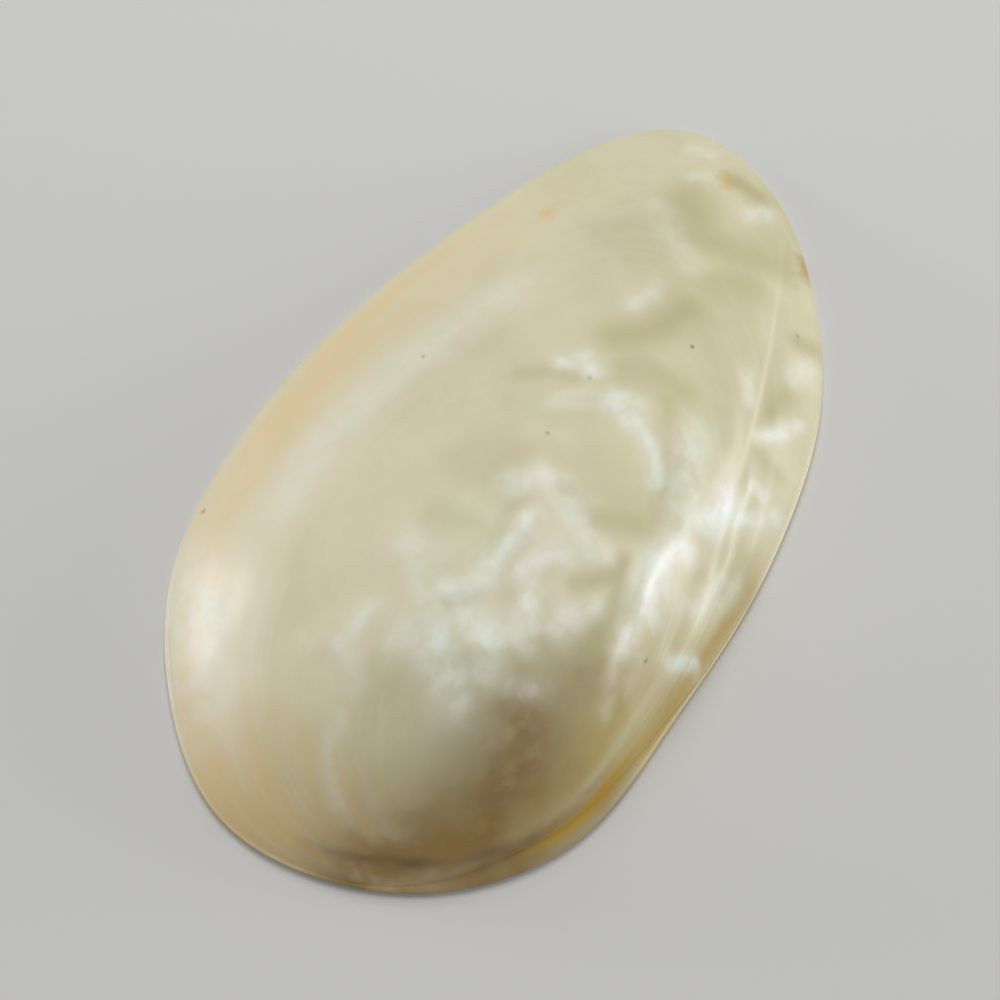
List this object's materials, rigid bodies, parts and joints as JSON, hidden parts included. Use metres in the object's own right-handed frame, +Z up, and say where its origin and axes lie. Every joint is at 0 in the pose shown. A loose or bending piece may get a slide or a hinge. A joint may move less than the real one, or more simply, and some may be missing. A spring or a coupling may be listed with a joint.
{
  "type": "freshwater mussel shell valve",
  "caption": "Single freshwater mussel valve, ground and polished to mother-of-pearl, lying on its flat rim with the domed side up.",
  "frame": {"origin": "centre of the valve's footprint, on the surface that the rim rests on", "axes": "+X towards the narrow hind end, +Y towards the belly edge, -Y towards the hinge edge, +Z up out of the domed side"},
  "size_m": [0.1197, 0.0704, 0.0214],
  "materials": {
    "mother_of_pearl": "polished"
  },
  "bodies": {
    "root": {"valve": "mother_of_pearl"}
  },
  "joints": []
}
